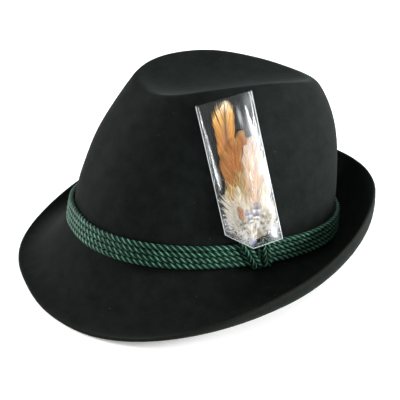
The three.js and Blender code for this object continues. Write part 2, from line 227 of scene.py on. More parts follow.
def around(row, heading):
    """A table row at each heading: a smooth curve through its five columns, mirrored left to right."""
    front, front_side, side, back_side, back_end = row
    columns = np.array([front_side, front, front_side, side, back_side, back_end, back_side])
    wrapped = np.mod(heading, 4 * QUARTER)
    place = np.minimum(wrapped, 4 * QUARTER - wrapped) / (QUARTER / 2)
    i = np.minimum(place.astype(int), 3)
    f = place - i
    a, b, c, d = columns[i], columns[i + 1], columns[i + 2], columns[i + 3]
    bend = (2 * a - 5 * b + 4 * c - d) * f ** 2
    twist = (3 * b - a - 3 * c + d) * f ** 3
    return 0.5 * (2 * b + (c - a) * f + bend + twist)


def oval_share(heading):
    """How far a squarish oval reaches beyond an ellipse: (|cos|^n + |sin|^n)^(-1/n)."""
    c, s = np.abs(np.cos(heading)), np.abs(np.sin(heading))
    return (c ** OVAL_POWER + s ** OVAL_POWER) ** (-1 / OVAL_POWER)


def dome_point(heading, climb):
    """The blocked dome: a superellipse in profile whose power turns with the heading.

    climb runs from 0 at the foot to a quarter turn at the top. The oval's squareness fades and
    its sides draw in as the dome rises, and the top is higher to the front.
    """
    c, s = np.cos(heading), np.sin(heading)
    ends = (DOME["front"] + DOME["back"]) / 4
    power = ends + DOME["side"] / 2 + (DOME["front"] - DOME["back"]) / 2 * c
    power = power + (ends - DOME["side"] / 2) * np.cos(2 * heading)
    reach = np.maximum(np.cos(climb), 1e-9)
    rise = np.maximum(np.sin(climb), 1e-9)
    radius = (reach ** power + rise ** power) ** (-1 / power)
    up = np.minimum(radius * rise, 1)
    out = np.where(climb > QUARTER - 1e-6, 0, radius * reach)
    square = oval_share(heading) ** (1 - up)
    narrowing = FRONT_NARROWING * (1 - up) - TAPER["front"] * up
    x = HALF_WIDTH * (1 - TAPER["side"] * up) * out * s * square * (1 - narrowing * c)
    y = TAPER["shift"] * up - HALF_LENGTH * (1 - TAPER["end"] * up) * out * c * square
    return np.stack([x, y, (DOME["rise"] - DOME["fall"] * y) * up], -1)


def creased(points):
    """The lower of the dome and the valley, joined by a polynomial blend that rounds the ridge."""
    x, y, z = np.moveaxis(points, -1, 0)
    along, side = y / HALF_LENGTH - CREASE["centre"], x / HALF_WIDTH
    floor = DOME["rise"] - CREASE["depth"] + CREASE["back_rise"] * y + CREASE["end_rise"] * along ** 4
    valley = floor + CREASE["side_rise"] * side ** 2
    mix = np.clip(0.5 + 0.5 * (valley - z) / RIDGE_BLEND, 0, 1)
    return np.stack([x, y, valley * (1 - mix) + z * mix - RIDGE_BLEND * mix * (1 - mix)], -1)


def brim_points(heading, fillet_rows, brim_rows):
    """The brim below the foot: an arc for the fillet, then the slope summed up in small steps."""
    width, root, middle, edge = (around(BRIM[k], heading) for k in ("width", "root", "middle", "edge"))
    turn = (np.radians(root) + QUARTER) * np.linspace(0, 1, fillet_rows + 1)[1:, None] - QUARTER
    out = BRIM_FILLET * (1 + np.sin(turn))
    height = -BRIM_FILLET * np.cos(turn)
    share = (np.arange(brim_rows)[:, None] + 0.5) / brim_rows
    slope = root + (middle - root) * share ** BRIM_BEND + (edge - middle) * share ** BRIM_CURL
    step = width * BRIM_WIDTH / brim_rows
    out = np.concatenate([out, out[-1] + np.cumsum(np.cos(np.radians(slope)) * step, 0)])
    height = np.concatenate([height, height[-1] + np.cumsum(np.sin(np.radians(slope)) * step, 0)])
    foot = dome_point(heading, np.zeros_like(heading))
    outward = unit(np.stack([HALF_LENGTH * np.sin(heading), -HALF_WIDTH * np.cos(heading)], -1))
    flat = foot[..., :2] + outward * out[..., None]
    return np.concatenate([flat, height[..., None]], -1)


# %% [markdown]
# One closed body
#
# The outer face is a grid from the crown's top to the brim's edge. Blocked felt is never quite
# even, so faint waves 5 to 7 centimetres long are added, too shallow to change its size but
# enough for light to play on. They fade out under the cords. The inner face is the outer one
# moved inward by the felt's thickness, and a narrow rounded strip joins them: the raw cut edge.
# Where the felt rests on the table it is pressed up, to a hair above the table so that the two
# surfaces don't coincide.
# %% Build the felt
FELT_COLUMNS = 240
CROWN_ROWS, FILLET_ROWS, BRIM_ROWS = 112, 8, 48
WAVE_DEPTH = 0.16
WAVE_LENGTHS = (57.0, 71.0, 49.0)
WAVE_STARTS = (1.3, 0.4, 2.1)
WAVE_FADE = 12.0
CORD_ZONE = (-6.0, 24.0)
PINCH = {"place": (45.0, -52.0, 92.0), "reach": 26.0, "depth": 2.2}
EDGE_ROWS = 3
EDGE_ROUNDNESS = 0.45
TABLE_GAP = 0.1


def face_normals(points):
    """Outward normals of a grid that is closed across, from the steps to its neighbours."""
    down = np.gradient(points, axis=0)
    side = (np.roll(points, -1, 1) - np.roll(points, 1, 1)) / 2
    normals = unit(np.cross(down, side))
    normals[0] = unit(normals[1].mean(0))
    return normals


def hand_blocked(points, normals):
    """Waves of three lengths along the normal, and a shallow thumb hollow on each front flank."""
    x, y, z = np.moveaxis(points, -1, 0)
    a, b, c = (2 * math.pi / w for w in WAVE_LENGTHS)
    start_x, start_y, start_z = WAVE_STARTS
    wave = np.sin(a * x + start_x) * np.sin(b * y + start_y) + np.sin(c * z + start_z) * np.cos(a * y)
    free = np.clip((np.abs(z - np.mean(CORD_ZONE)) - np.ptp(CORD_ZONE) / 2) / WAVE_FADE, 0, 1)
    shift = WAVE_DEPTH * wave * free
    px, py, pz = PINCH["place"]
    off = ((np.abs(x) - px) ** 2 + (y - py) ** 2 + (z - pz) ** 2) / PINCH["reach"] ** 2
    return points + normals * (shift - PINCH["depth"] * np.exp(-off))[..., None]


heading = np.linspace(0, 4 * QUARTER, FELT_COLUMNS, endpoint=False)[None, :]
climb = np.linspace(QUARTER, 0, CROWN_ROWS + 1)[:, None]
crown = creased(dome_point(*np.broadcast_arrays(heading, climb)))
outer = np.concatenate([crown, brim_points(heading, FILLET_ROWS, BRIM_ROWS)])
normals = face_normals(outer)
outer = hand_blocked(outer, normals)
normals = face_normals(outer)
inner = outer - normals * FELT_THICKNESS
outer[0], inner[0] = outer[0].mean(0), inner[0].mean(0)

turn = np.linspace(0, math.pi, EDGE_ROWS + 2)[1:-1, None, None]
rim = unit(outer[-1] - outer[-2])
middle = (outer[-1] + inner[-1]) / 2
edge = middle + (outer[-1] - middle) * np.cos(turn)
edge = edge + rim * EDGE_ROUNDNESS * FELT_THICKNESS * np.sin(turn)
felt_grid = np.concatenate([outer, edge, inner[::-1]])
rows = len(felt_grid)
cut = np.zeros((rows, FELT_COLUMNS))
cut[len(outer) - 1:len(outer) + EDGE_ROWS + 1] = 1

standing_up = np.array([0, math.sin(REST_PITCH), math.cos(REST_PITCH)])
below = np.maximum(0, TABLE_GAP - tipped(felt_grid)[..., 2] - REST_PLACE[2])
felt_grid = felt_grid + standing_up * below[..., None]
print(f"felt pressed up by {below.max():.2f} mm at most where it rests")

# %% [markdown]
# The look of brushed wool felt
#
# Wool felt is a mat of fine fibres with no weave. Brushed nap scatters light back at grazing
# angles, which is why the flanks of a black hat look greyer than its front: the Sheen of the
# Principled shader does that. The colour is a green so dark that it reads as black. One noise
# with many octaves makes it faintly cloudy, from a centimetre down to a clump of fibre, and specks
# of pale lint lie on it, as they do on every dark felt. The cut edge shows the rough core of the
# felt, a little browner.
# %% Felt material
FIBRE_CLUMP, FIBRE_CLOUD, LINT_SPACING = 1.5, 9.0, 6.0
NAP_DEPTH = 0.6


def felt_material():
    """Dark felt: cloudy base colour, sheen, fibre bump, lint specks and a rough browner cut edge."""
    material, shader = new_material(
        "brushed wool felt", Roughness=0.95, Sheen_Weight=0.055, Sheen_Roughness=0.32,
        Sheen_Tint=colour("#a4b8b0"), Specular_IOR_Level=0.06)
    place = add(material, "ShaderNodeTexCoord").outputs["Object"]
    cloud = add(material, "ShaderNodeTexNoise", {"Vector": place}, Scale=per_metre(FIBRE_CLOUD),
                Detail=6.0, Roughness=0.68)
    shade = add(material, "ShaderNodeMapRange", {"Value": cloud.outputs["Fac"]},
                From_Min=0.2, From_Max=0.8)
    dyed = add(material, "ShaderNodeMix", {0: shade.outputs["Result"], 6: "#060908", 7: "#151918"},
               data_type="RGBA")
    speck = add(material, "ShaderNodeTexVoronoi", {"Vector": place}, Scale=per_metre(LINT_SPACING))
    near = add(material, "ShaderNodeMapRange", {"Value": speck.outputs["Distance"]},
               From_Min=0.05, From_Max=0.1, To_Min=1.0, To_Max=0.0)
    rare = add(material, "ShaderNodeMath", {0: speck.outputs["Color"], 1: near.outputs["Result"]},
               operation="MULTIPLY")
    lint = add(material, "ShaderNodeMapRange", {"Value": rare.outputs[0]},
               From_Min=0.6, From_Max=0.8, To_Max=0.4)
    dusted = add(material, "ShaderNodeMix",
                 {0: lint.outputs["Result"], 6: dyed.outputs[2], 7: "#5c645e"}, data_type="RGBA")
    fibre = add(material, "ShaderNodeTexNoise", {"Vector": place}, Scale=per_metre(FIBRE_CLUMP),
                Detail=3.0, Roughness=0.6)
    core = add(material, "ShaderNodeMix", {0: fibre.outputs["Fac"], 6: "#090b09", 7: "#1f211b"},
               data_type="RGBA")
    cut_edge = add(material, "ShaderNodeAttribute", attribute_name="cut")
    edged = add(material, "ShaderNodeMix",
                {0: cut_edge.outputs["Fac"], 6: dusted.outputs[2], 7: core.outputs[2]},
                data_type="RGBA")
    link(material, edged.outputs[2], shader.inputs["Base Color"])
    bump = add(material, "ShaderNodeBump", {"Height": fibre.outputs["Fac"]},
               Strength=0.4, Distance=NAP_DEPTH * METRE)
    link(material, bump.outputs["Normal"], shader.inputs["Normal"])
    return material


make_piece(
    "felt", felt_grid.reshape(-1, 3), [grid_quads(rows, FELT_COLUMNS, across=True)],
    felt_material(), ["felt_body"], {"cut": cut})

# %% [markdown]
# Twisted cord
#
# The band is a silky cord of three plies twisted round each other, laid round the crown four
# times. A smooth tube with a striped texture would look flat at its edges, so each ply is its
# own tube whose middle line winds round the cord's path. The path follows the crown's wall at a
# fixed distance, so the rows press against the felt all the way round.
# %% Path of the band rows
CORD, ROW_GAP = 3.8, 0.3
BAND_ROWS = 4
BAND_LIFT = 0.2
FELT_CLEARANCE = 0.4
ROW_PITCH = CORD + ROW_GAP
FIRST_ROW = BAND_LIFT + CORD / 2
LAST_ROW = FIRST_ROW + (BAND_ROWS - 1) * ROW_PITCH
BAND_OFF = FELT_CLEARANCE + CORD / 2
PATH_FINENESS = 1440
HALVINGS = 40


def beside_wall(heading, height, off):
    """Places beside the crown's wall: the dome's point at that height, moved off along its normal.

    The climb that gives a height is found by halving an interval for all places at once.
    """
    heading, height, off = np.broadcast_arrays(*(np.asarray(v, float) for v in (heading, height, off)))
    low, high = np.zeros_like(height), np.full_like(height, QUARTER)
    for _ in range(HALVINGS):
        half = (low + high) / 2
        below = dome_point(heading, half)[..., 2] < np.maximum(height, 0)
        low, high = np.where(below, half, low), np.where(below, high, half)
    step = 0.01
    side = dome_point(heading + step, low) - dome_point(heading - step, low)
    rise = dome_point(heading, low + step) - dome_point(heading, low)
    normal = unit(np.cross(side, rise))
    wall = dome_point(heading, low)
    wall[..., 2] = height
    return wall + normal * off[..., None], normal


def even_steps(path, guides, count, closed):
    """A path and its guide vectors sampled again at equal steps of length."""
    if closed:
        path, guides = np.vstack([path, path[:1]]), np.vstack([guides, guides[:1]])
    length = np.concatenate([[0], np.cumsum(np.linalg.norm(np.diff(path, axis=0), axis=1))])
    where = np.linspace(0, length[-1], count, endpoint=not closed)
    path, guides = (np.stack([np.interp(where, length, values[:, k]) for k in range(3)], 1)
                    for values in (path, guides))
    return path, unit(guides), where, length[-1]


# %% [markdown]
# Winding the plies
#
# At each step of the path the cord has a forward direction and an outward guide. A ply's middle
# sits on a small circle round the path and turns once for each lay, which is the length that
# one full twist takes. Its own round section is set square to its own direction, so it keeps its
# thickness where it slants.
# %% Twisted cord from plies
PLIES = 3
STEPS_PER_LAY = 22
PLY_SIDES = 14
PLY_HALF_DEPTH, PLY_HALF_WIDTH = 0.25, 0.36


def wound_plies(path, guides, where, total, cord, lay, hand, closed, phase=0.0):
    """Tubes for each ply: middle = path + r (cos a, sin a), with a growing by one turn each lay.

    A ply's section is an oval, flattened where it presses on its neighbour, with half sizes that
    are shares of the cord. Returns points as plies x steps x sides, with how far round and along
    each point lies, and how near the crest of its ply.
    """
    if closed:
        lay = total / round(total / lay)
        ahead = np.roll(path, -1, 0) - np.roll(path, 1, 0)
    else:
        ahead = np.gradient(path, axis=0)
    ahead = unit(ahead)
    out = unit(guides - ahead * (guides * ahead).sum(1, keepdims=True))
    side = np.cross(ahead, out)
    wind = cord * (0.5 - PLY_HALF_DEPTH)
    ply = np.arange(PLIES)[:, None] * 2 * math.pi / PLIES
    angle = hand * 2 * math.pi * where[None, :] / lay + ply + phase
    radial = np.cos(angle)[..., None] * out + np.sin(angle)[..., None] * side
    spin = hand * 2 * math.pi / lay * wind
    around_path = np.cross(ahead[None], radial)
    direction = unit(ahead[None] + spin * around_path)
    across = np.cross(direction, radial)
    turn = np.linspace(0, 2 * math.pi, PLY_SIDES, endpoint=False)[:, None]
    ring = PLY_HALF_DEPTH * np.cos(turn) * radial[:, :, None]
    ring = ring + PLY_HALF_WIDTH * np.sin(turn) * across[:, :, None]
    points = (path + radial * wind)[:, :, None] + ring * cord
    crest = np.broadcast_to(np.cos(turn[:, 0]), points.shape[:3])
    round_share = np.broadcast_to(turn[:, 0] / (2 * math.pi), points.shape[:3])
    along = np.broadcast_to(where[None, :, None], points.shape[:3])
    return points, round_share, along, crest


def capped_tube(points, start, closed):
    """Faces of one tube of steps x sides, with both ends filled where it is open."""
    steps, sides = points.shape[:2]
    faces = [grid_quads(steps, sides, start, across=True, along=closed)]
    if not closed:
        faces.append(np.arange(sides)[None, ::-1] + start)
        faces.append(np.arange(sides)[None, :] + start + (steps - 1) * sides)
    return faces


def cord_piece(name, wound, closed, replaced, material):
    """One piece from a cord's plies, with the numbers that its thread pattern reads."""
    points, round_share, along, crest = wound
    faces, size = [], points.shape[1] * points.shape[2]
    for k, tube in enumerate(points):
        faces += capped_tube(tube, k * size, closed)
    make_piece(name, points.reshape(-1, 3), faces, material, replaced,
               {"round": round_share, "along": along, "crest": crest})


# %% [markdown]
# The look of viscose cord
#
# The cord is viscose, a smooth artificial silk dyed bottle green. Smooth parallel fibres shine
# in narrow streaks, and the streaks keep the dye's colour, so the specular tint is green. Each
# ply is itself laid up from fine threads that slant across it. Real threads are about 0.2 mm and
# would vanish at this size, so they are drawn 0.6 to 0.8 mm wide. The dye is nearly black, and
# the crest of each ply gets a pale painted highlight, broken into threads and stronger in some
# patches than in others, while the furrows between plies keep the dark dye.
# %% Cord material
THREADS_ROUND = 9
THREAD_SLANT = 0.45
THREAD_DEPTH = 0.2
# Pale painted highlight on the ply crests: size of its random patches, where on the crest it starts, and
# its least share in a patch.
HIGHLIGHT_PATCH = 7.0
HIGHLIGHT_CREST, LEAST_HIGHLIGHT = 0.9, 0.45


def cord_material(name, crest_highlight):
    """Silky green: threads as stripes of round share times count plus slant times length.

    The last argument is the share of the pale painted highlight that the brightest crests get.
    """
    material, shader = new_material(
        name, Roughness=0.45, Specular_IOR_Level=0.2, Specular_Tint=colour("#8fdcc0"))
    round_share = add(material, "ShaderNodeAttribute", attribute_name="round")
    along = add(material, "ShaderNodeAttribute", attribute_name="along")
    count = add(material, "ShaderNodeMath", {0: round_share.outputs["Fac"], 1: THREADS_ROUND},
                operation="MULTIPLY")
    both = add(material, "ShaderNodeMath",
               {0: along.outputs["Fac"], 1: THREAD_SLANT, 2: count.outputs[0]}, operation="MULTIPLY_ADD")
    cycle = add(material, "ShaderNodeMath", {0: both.outputs[0], 1: 0.5}, operation="PINGPONG")
    ridge = add(material, "ShaderNodeMapRange", {"Value": cycle.outputs[0]},
                interpolation_type="SMOOTHSTEP", From_Max=0.5, To_Min=0.45)
    # Painted highlight: the crest of each ply is coloured pale, as if lit, in threads and random
    # patches.
    crest = add(material, "ShaderNodeAttribute", attribute_name="crest")
    lit_crest = add(material, "ShaderNodeMapRange", {"Value": crest.outputs["Fac"]}, From_Min=HIGHLIGHT_CREST)
    place = add(material, "ShaderNodeTexCoord").outputs["Object"]
    patch = add(material, "ShaderNodeTexNoise", {"Vector": place}, Scale=per_metre(HIGHLIGHT_PATCH))
    highlight_strength = add(material, "ShaderNodeMapRange", {"Value": patch.outputs["Fac"]},
                 From_Min=0.35, From_Max=0.65, To_Min=LEAST_HIGHLIGHT * crest_highlight, To_Max=crest_highlight)
    thread = add(material, "ShaderNodeMath", {0: ridge.outputs["Result"], 1: lit_crest.outputs["Result"]},
                 operation="MULTIPLY")
    share = add(material, "ShaderNodeMath", {0: thread.outputs[0], 1: highlight_strength.outputs["Result"]},
                operation="MULTIPLY")
    # Base colour: the nearly black dye, with the pale painted highlight mixed in on the crests.
    dye_and_highlight = add(material, "ShaderNodeMix", {0: share.outputs[0], 6: "#04160f", 7: "#78b097"},
              data_type="RGBA")
    link(material, dye_and_highlight.outputs[2], shader.inputs["Base Color"])
    bump = add(material, "ShaderNodeBump", {"Height": ridge.outputs["Result"]},
               Strength=0.4, Distance=THREAD_DEPTH * METRE)
    link(material, bump.outputs["Normal"], shader.inputs["Normal"])
    return material


# Share of the pale painted highlight on the band's brightest crests.
BAND_HIGHLIGHT = 1.0
cord_finish = cord_material("twisted viscose cord", BAND_HIGHLIGHT)

# %% [markdown]
# Rows that close
#
# Each row is a loop of its own, because the place where a real cord would climb from one row to
# the next is hidden under the wraps. The lay is fitted so that a whole number of twists goes
# round, which closes the loop without a seam. The plies are a little fuller than the nominal
# cord, so that the rows all but touch, and each row starts its twist a little further on.
# %% Four rows round the crown
ROW_LAY = 12.9
ROW_FULLNESS = 1.07
ROW_PHASE = 1.1
BAND_HAND = 1

for row in range(BAND_ROWS):
    sweep = np.linspace(0, 4 * QUARTER, PATH_FINENESS, endpoint=False)
    path, guides = beside_wall(sweep, FIRST_ROW + row * ROW_PITCH, BAND_OFF)
    rough = np.linalg.norm(np.roll(path, -1, 0) - path, axis=1).sum()
    steps = round(rough / ROW_LAY) * STEPS_PER_LAY
    path, guides, where, total = even_steps(path, guides, steps, True)
    wound = wound_plies(path, guides, where, total, CORD * ROW_FULLNESS, ROW_LAY, BAND_HAND, True,
                        phase=ROW_PHASE * row)
    cord_piece(f"band_row_{row + 1}", wound, True, [f"band_cord_{row + 1}"], cord_finish)
    print(f"row {row + 1} is {total:.0f} mm round")

# %% [markdown]
# The wraps
#
# Where the cord starts and ends, it is taken over the rows and tucked behind them. Two strands
# lie side by side in each wrap, and as they are twisted opposite ways their plies meet in a row
# of chevrons. A strand's path is a stadium round the section of the band: over the top row, down
# the outside and under the bottom row.
# %% Wrap strands
WRAP_STRANDS = 2
WRAP_LAY = 11.8
WRAPS = {
    # heading at the top and at the foot in degrees, cord in mm
    "front": (85.9, 90.5, 3.1),
    "rear": (93.8, 95.3, 3.0),
}
WRAP_PHASE = 0.6
WRAP_OVERRUN = 0.2
BEND_STEPS, DROP_STEPS = 24, 40


def wrap_path(top, foot, cord, strand):
    """A strand's stadium path: heights and distances off the wall, slanting from top to foot."""
    quarter = np.linspace(QUARTER, 0, BEND_STEPS)
    bend = (CORD * ROW_FULLNESS + cord) / 2
    drop = np.linspace(LAST_ROW, FIRST_ROW, DROP_STEPS)[1:-1]
    height = np.concatenate([LAST_ROW + bend * np.sin(quarter), drop,
                             FIRST_ROW - bend * np.sin(quarter[::-1])])
    off = BAND_OFF + bend * np.concatenate([np.cos(quarter), np.ones(len(drop)), np.cos(quarter[::-1])])
    slant = math.atan2(math.radians(foot - top) * HALF_LENGTH, LAST_ROW - FIRST_ROW)
    beside = cord / math.cos(slant) / HALF_LENGTH
    fall = (LAST_ROW - height) / (LAST_ROW - FIRST_ROW)
    fall = np.clip(fall, -WRAP_OVERRUN, 1 + WRAP_OVERRUN)
    heading = np.radians(top + (foot - top) * fall) + (strand - (WRAP_STRANDS - 1) / 2) * beside
    return beside_wall(heading, height, off)


for wrap, (top, foot, cord) in WRAPS.items():
    for strand in range(WRAP_STRANDS):
        path, guides = wrap_path(top, foot, cord, strand)
        length = np.linalg.norm(np.diff(path, axis=0), axis=1).sum()
        steps = int(length / WRAP_LAY * STEPS_PER_LAY)
        path, guides, where, total = even_steps(path, guides, steps, False)
        hand = -1 if strand else 1
        wound = wound_plies(path, guides, where, total, cord, WRAP_LAY, hand, False, phase=WRAP_PHASE)
        name = f"wrap_{wrap}_{strand + 1}"
        cord_piece(name, wound, False, [f"band_{name}"], cord_finish)
        print(f"{name} is {total:.1f} mm long")

# %% [markdown]
# The tail between the wraps
#
# One thin strand shows between the wraps. It drops over the rows almost straight, from the top
# one to the bottom one. It is the same cord, unlaid to about half its thickness, and as it lies
# low in the shade between the wraps its pale painted crest highlight is kept weak.
# %% Tail strand
TAIL_CORD, TAIL_LAY = 2.1, 6.6
TAIL_TOP, TAIL_FOOT = (90.4, LAST_ROW + 1.9), (91.6, FIRST_ROW + 1.5)
TAIL_STEPS = 60
# The tail's painted crest highlight is kept weak, for the shade it lies in.
TAIL_HIGHLIGHT = 0.2

down_tail = np.linspace(0, 1, TAIL_STEPS)
tail_heading = np.radians(TAIL_TOP[0] + (TAIL_FOOT[0] - TAIL_TOP[0]) * down_tail)
tail_height = TAIL_TOP[1] + (TAIL_FOOT[1] - TAIL_TOP[1]) * down_tail
tail_off = BAND_OFF + (CORD * ROW_FULLNESS + TAIL_CORD) / 2
path, guides = beside_wall(tail_heading, tail_height, tail_off)
length = np.linalg.norm(np.diff(path, axis=0), axis=1).sum()
steps = int(length / TAIL_LAY * STEPS_PER_LAY)
path, guides, where, total = even_steps(path, guides, steps, False)
wound = wound_plies(path, guides, where, total, TAIL_CORD, TAIL_LAY, -1, False)
cord_piece("wrap_tail", wound, False, ["band_wrap_front_1"],
           cord_material("unlaid viscose strand", TAIL_HIGHLIGHT))
print(f"tail strand {total:.1f} mm long")

# %% [markdown]
# The sleeve leans on the crown
#
# The plume stands in a flat sleeve of clear film. The sleeve's foot rests on the wraps and its
# back on the crown, so it stands a little off upright in two directions. Everything in it is
# worked out in its own flat frame: x across to the back of the hat, y up the sleeve and z off
# the crown.
# %% Frame of the sleeve
SLEEVE_WIDTH, SLEEVE_LENGTH = 40.0, 103.0
SLEEVE_FOOT = np.array([90.574, -1.147, 16.216])
SLEEVE_FACING, SLEEVE_LEAN, SLEEVE_TILT = (math.radians(v) for v in (-3.0, 14.5, 12.0))
SLEEVE_BULGE, SLEEVE_SEAM = 3.4, 1.6
SLEEVE_FILLED = {"from": 0.22, "to": 0.55, "mouth": 0.3}
FOLD_UP, FOLD_ACROSS = 0.15, 0.44


def smooth(value, low, high):
    """Nothing below low, one above high and an even S-curve between: t t (3 - 2 t)."""
    t = np.clip((value - low) / (high - low), 0, 1)
    return t * t * (3 - 2 * t)


def sleeve_axes():
    """Across, up and off: up is the steepest line of the leaning plane, turned in it by the tilt."""
    cf, sf = math.cos(SLEEVE_FACING), math.sin(SLEEVE_FACING)
    cl, sl = math.cos(SLEEVE_LEAN), math.sin(SLEEVE_LEAN)
    off = np.array([cl * cf, cl * sf, sl])
    steepest = np.array([-sl * cf, -sl * sf, cl])
    up = steepest * math.cos(SLEEVE_TILT) + np.cross(off, steepest) * math.sin(SLEEVE_TILT)
    return np.cross(up, off), up, off


ACROSS, UP, OFF = sleeve_axes()


def in_sleeve(x, y, z):
    """Places in the sleeve's frame as places in the hat's frame."""
    x, y, z = np.broadcast_arrays(x, y, z)
    return SLEEVE_FOOT + x[..., None] * ACROSS + y[..., None] * UP + z[..., None] * OFF


def folded_foot(across):
    """Height of the bottom edge, which climbs to the front where the corner is folded away."""
    return SLEEVE_LENGTH * FOLD_UP * np.maximum(0, 1 - across / FOLD_ACROSS)


def sleeve_bulge(x, y):
    """Half the depth of the filled sleeve: a lens across, swelling from the foot, slack at the top."""
    across = (x + SLEEVE_WIDTH / 2 - SLEEVE_SEAM) / (SLEEVE_WIDTH - 2 * SLEEVE_SEAM)
    foot = folded_foot(x / SLEEVE_WIDTH + 0.5) + SLEEVE_SEAM
    share = np.clip((y - foot) / (SLEEVE_LENGTH - foot), 0, 1)
    lens = np.sqrt(np.maximum(0, 1 - (2 * across - 1) ** 2))
    slack = 1 - (1 - SLEEVE_FILLED["mouth"]) * smooth(share, SLEEVE_FILLED["to"], 1)
    return SLEEVE_BULGE * lens * smooth(share, 0, SLEEVE_FILLED["from"]) * slack


# %% [markdown]
# Feathers, barb by barb
#
# A feather is a shaft with hundreds of thin barbs on each side, and the plume shows them: its
# outline is ragged and it shines along its barbs. A flat blade with a picture of barbs on it
# would show neither. So each barb is a thin three-sided strip, and all barbs of a feather are
# worked out together as one array of barbs x steps x corners. The barbs leave the shaft at a
# wide angle near its foot and a narrow one near its tip, and bend towards the tip. Their ends
# are spaced evenly along the vane's edge, round its tip too, so that a blunt tip is full.
# %% One feather
BARB_STEPS = 7
BARB_SPACING = 0.34
BARB_WIDTH, BARB_THICKNESS, BARB_TAPER = 0.5, 0.1, 0.8
SHORTEST_BARB, LONGEST_BARB = 1.2, 24.0
WIDE_BARB, NARROW_BARB, NARROWING_POWER = 52, 20, 1.3
BARB_BEND, BARB_DROOP = 0.5, 0.5
CLUMP_LENGTH = 2.4
UNEVEN = {
    # in a tidy feather, and what its looseness adds
    "clump reach": (0.03, 0.2),
    "barb reach": (0.03, 0.12),
    "clump angle": (0.05, 0.25),
    "barb degrees": (1.2, 9),
    "barb height": (0.05, 0.3),
}
TONE = {"middle": 0.4, "by barb": 0.35, "by clump": 0.15, "shaft": 0.7}
SHAFT_SIDES, SHAFT_STEPS = 6, 40
SHAFT_END, SHAFT_TAPER, SHAFT_RAISED = 0.97, 0.85, 0.1
BARE_QUILL, QUILL_RADIUS = 0.06, 0.36
VANE_FINENESS, VANE_START = 200, -0.25
FILM_CLEARANCE, LEAST_ROOM = 0.25, 0.02


def barb_strips(place, ahead, broad):
    """Three-sided strips along middle lines: corners at plus and minus broad, and one raised."""
    taper = (1 - BARB_TAPER * np.linspace(0, 1, place.shape[1]) ** 3)[None, :, None]
    side = np.stack([-ahead[..., 1], ahead[..., 0], np.zeros_like(ahead[..., 0])], -1)
    lifted = np.array([0, 0, BARB_THICKNESS])
    half = side * broad / 2 * taper
    return np.stack([place - half, place + half, place + lifted * taper], 2)


def strip_faces(count, steps):
    """Faces of many three-sided strips: three quads for each step and a triangle at each end."""
    offset = np.arange(count)[:, None] * steps * 3
    quads = (grid_quads(steps, 3, across=True)[None] + offset[..., None]).reshape(-1, 4)
    ends = np.array([[0, 2, 1], [(steps - 1) * 3, (steps - 1) * 3 + 1, (steps - 1) * 3 + 2]])
    caps = (ends[None] + offset[..., None]).reshape(-1, 3)
    return [quads, caps]


def within_sleeve(strips, clearance):
    """The same strips, held between the sleeve's two sheets and between its side seams."""
    half = SLEEVE_WIDTH / 2 - SLEEVE_SEAM / 2
    strips[..., 0] = np.clip(strips[..., 0], -half, half)
    room = np.maximum(sleeve_bulge(strips[..., 0], strips[..., 1]) - clearance, LEAST_ROOM)
    strips[..., 2] = np.clip(strips[..., 2], -room, room)
    return strips


def vane_edge(length, width, fullest, blunt):
    """Barb ends spaced evenly along the vane's edge, as shares of its length and its half width.

    The edge widens smoothly to its fullest and closes as a superellipse of power blunt.
    """
    low = np.linspace(BARE_QUILL, fullest, VANE_FINENESS)
    turn = np.linspace(0, QUARTER, VANE_FINENESS)[1:]
    ahead = np.concatenate([low, fullest + (1 - fullest) * np.sin(turn) ** (2 / blunt)])
    aside = np.concatenate([smooth(low, VANE_START, fullest), np.cos(turn) ** (2 / blunt)])
    gone = np.cumsum(np.hypot(np.diff(ahead) * length, np.diff(aside) * width / 2))
    gone = np.concatenate([[0], gone])
    where = np.linspace(0, gone[-1], int(gone[-1] / BARB_SPACING))
    return np.interp(where, gone, ahead), np.interp(where, gone, aside)


def on_shaft(foot, tip, bow, t):
    """Places and directions on a shaft: the straight run, and 4 bow t (1 - t) square to it."""
    run = tip - foot
    square = np.array([run[1], -run[0]]) / np.linalg.norm(run)
    places = foot + run * t[:, None] + square * (4 * bow * t * (1 - t))[:, None]
    return places, unit(run + square * (4 * bow * (1 - 2 * t))[:, None])


def quill(foot, tip, bow, lift):
    """The shaft as a round tube that tapers to its tip, and the pattern numbers of its points."""
    t = np.linspace(0, SHAFT_END, SHAFT_STEPS)
    places, ahead = on_shaft(foot, tip, bow, t)
    thick = QUILL_RADIUS * (1 - SHAFT_TAPER * t)
    turn = np.linspace(0, 2 * math.pi, SHAFT_SIDES, endpoint=False)
    across = ahead[:, ::-1] * np.array([1, -1])
    ring = places[:, None] + across[:, None] * (thick[:, None] * np.cos(turn))[..., None]
    height = lift + SHAFT_RAISED + thick[:, None] * np.sin(turn)
    tube = within_sleeve(np.concatenate([ring, height[..., None]], -1), FILM_CLEARANCE / 2)
    count = SHAFT_STEPS * SHAFT_SIDES
    return tube, {
        "along": np.repeat(t, SHAFT_SIDES),
        "across": np.zeros(count),
        "tone": np.full(count, TONE["shaft"]),
    }


